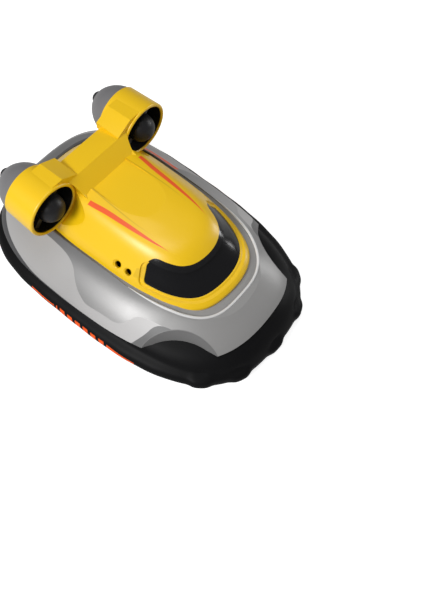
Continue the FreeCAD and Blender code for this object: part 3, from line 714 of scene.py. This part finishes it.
def blade_seed(hand):
    """One twisted, cambered blade standing up from the fan axis; hand mirrors it for the starboard side."""
    verts, faces = [], []
    top = BLADE_ROWS - 1
    for k in range(BLADE_ROWS):
        t = k / top
        r = BLADE_ROOT + (BLADE_TIP - BLADE_ROOT) * t
        a = math.radians(BLADE_PITCH - BLADE_TWIST * t ** BLADE_TWIST_POWER)
        half = (BLADE_HALF_CHORD + BLADE_WIDENING * t) * (1.0 if k < top else BLADE_TIP_CHORD)
        for i in range(BLADE_SIDES):
            b = 2 * math.pi * i / BLADE_SIDES
            u = half * math.cos(b)
            v = BLADE_HALF_THICK * math.sin(b) * (1 - BLADE_THINNING * t)
            v += BLADE_CAMBER * (1 - (u / half) ** 2)
            x, y = hand * (u * math.cos(a) - v * math.sin(a)), u * math.sin(a) + v * math.cos(a)
            verts.append((x * MM, y * MM, r * MM))
    for k in range(top):
        low, high = k * BLADE_SIDES, (k + 1) * BLADE_SIDES
        for i in range(BLADE_SIDES):
            j = (i + 1) % BLADE_SIDES
            faces.append((low + i, low + j, high + j, high + i))
    faces.append(tuple(range(BLADE_SIDES - 1, -1, -1)))
    faces.append(tuple(top * BLADE_SIDES + i for i in range(BLADE_SIDES)))
    me = bpy.data.meshes.new("blade_seed")
    me.from_pydata(verts, [], faces)
    return me


def rotor_tree():
    g, inp, out = geometry_tree("rotor", [
        ("Blades", "NodeSocketInt", BLADES), ("Hub Radius", "NodeSocketFloat", HUB_RADIUS),
        ("Hub Length", "NodeSocketFloat", HUB_LENGTH), ("Axis Place", "NodeSocketVector", (0, 0, 0))])
    spots = g.nodes.new("GeometryNodePoints")
    link(g, inp.outputs["Blades"], spots.inputs["Count"])
    index = g.nodes.new("GeometryNodeInputIndex").outputs[0]
    turn = math_node(g, "MULTIPLY", index, math_node(g, "DIVIDE", 2 * math.pi, inp.outputs["Blades"]))
    spin = g.nodes.new("ShaderNodeCombineXYZ")
    link(g, turn, spin.inputs["Y"])
    fan = g.nodes.new("GeometryNodeInstanceOnPoints")
    link(g, spots.outputs[0], fan.inputs["Points"])
    link(g, inp.outputs["Geometry"], fan.inputs["Instance"])
    link(g, spin.outputs[0], fan.inputs["Rotation"])
    hub = g.nodes.new("GeometryNodeMeshCylinder")
    hub.inputs["Vertices"].default_value = HUB_FACETS
    link(g, inp.outputs["Hub Radius"], hub.inputs["Radius"])
    link(g, inp.outputs["Hub Length"], hub.inputs["Depth"])
    lie = g.nodes.new("GeometryNodeTransform")
    lie.inputs["Rotation"].default_value = (math.pi / 2, 0, 0)
    link(g, hub.outputs["Mesh"], lie.inputs["Geometry"])
    join = g.nodes.new("GeometryNodeJoinGeometry")
    link(g, fan.outputs[0], join.inputs[0])
    link(g, lie.outputs[0], join.inputs[0])
    place = g.nodes.new("GeometryNodeTransform")
    link(g, join.outputs[0], place.inputs["Geometry"])
    link(g, inp.outputs["Axis Place"], place.inputs["Translation"])
    end_tree(g, place.outputs[0], BLADE_MOULDING, out)
    return g


ROTOR = rotor_tree()
for side, hand in (("left", 1), ("right", -1)):
    grow(side + "_rotor", blade_seed(hand), ROTOR,
         {"Blades": BLADES, "Hub Radius": HUB_RADIUS, "Hub Length": HUB_LENGTH,
          "Axis Place": (hand * FAN_X * MM, HUB_Y * MM, FAN_Z * MM)},
         side + "_fan", side + "_propeller")

# ------------------------------------------------------------------ floor, backdrop and lamps
FLOOR_HALF, FLOOR_DROP = 6.0, 0.0002    # metres
FLOOR_WHITE, FLOOR_GLOW, FLOOR_GLOSSY_SHARE = (0.6, 0.6, 0.6, 1), 0.8, 0.15
AMBIENT = 0.2


def flat(name, half, z):
    """Square sheet, half is half its side."""
    me = bpy.data.meshes.new(name)
    corners = [(-half, -half, z), (half, -half, z), (half, half, z), (-half, half, z)]
    me.from_pydata(corners, [], [(0, 1, 2, 3)])
    o = bpy.data.objects.new(name, me)
    bpy.context.scene.collection.objects.link(o)
    return o


def studio_white():
    """White sweep that takes shadows, glows for the camera and shows only weakly in glossy faces."""
    m = bpy.data.materials.new("studio_white")
    m.use_nodes = True
    t = m.node_tree
    t.nodes.clear()
    out = t.nodes.new("ShaderNodeOutputMaterial")
    paper = t.nodes.new("ShaderNodeBsdfDiffuse")
    paper.inputs["Color"].default_value = FLOOR_WHITE
    dark = t.nodes.new("ShaderNodeEmission")
    dark.inputs["Strength"].default_value = 0.0
    glow = t.nodes.new("ShaderNodeEmission")
    glow.inputs["Strength"].default_value = FLOOR_GLOW
    path = t.nodes.new("ShaderNodeLightPath")
    glossy = math_node(t, "MULTIPLY", path.outputs["Is Glossy Ray"], FLOOR_GLOSSY_SHARE)
    pick = t.nodes.new("ShaderNodeMixShader")
    link(t, math_node(t, "MAXIMUM", path.outputs["Is Camera Ray"], glossy), pick.inputs[0])
    link(t, dark.outputs[0], pick.inputs[1])
    link(t, glow.outputs[0], pick.inputs[2])
    add = t.nodes.new("ShaderNodeAddShader")
    link(t, paper.outputs[0], add.inputs[0])
    link(t, pick.outputs[0], add.inputs[1])
    link(t, add.outputs[0], out.inputs[0])
    return m


def studio_world():
    """White behind the part, and a weak even light on it."""
    world = bpy.data.worlds.new("studio")
    bpy.context.scene.world = world
    world.use_nodes = True
    t = world.node_tree
    t.nodes.clear()
    out = t.nodes.new("ShaderNodeOutputWorld")
    bg = t.nodes.new("ShaderNodeBackground")
    bg.inputs["Color"].default_value = (1, 1, 1, 1)
    path = t.nodes.new("ShaderNodeLightPath")
    link(t, math_node(t, "MAXIMUM", path.outputs["Is Camera Ray"], AMBIENT), bg.inputs["Strength"])
    link(t, bg.outputs[0], out.inputs[0])


floor = flat("studio_floor", FLOOR_HALF, cad_low.z - FLOOR_DROP)
floor.data.materials.append(studio_white())
studio_world()


def lamp(name, place, target, size, watts):
    d = bpy.data.lights.new(name, "AREA")
    d.size = size
    d.energy = watts
    o = bpy.data.objects.new(name, d)
    bpy.context.scene.collection.objects.link(o)
    o.location = place
    o.rotation_euler = (Vector(target) - Vector(place)).to_track_quat("-Z", "Y").to_euler()


LAMP_AIM = (0, 0, 0.03)
lamp("key_softbox", (-0.84, 0.1, 0.72), LAMP_AIM, 0.4, 9.5)
lamp("top_softbox", (0.0, 0.1, 1.1), LAMP_AIM, 0.5, 2.6)
lamp("bow_strip", (0.85, -0.4, 0.3), LAMP_AIM, 0.25, 2.4)
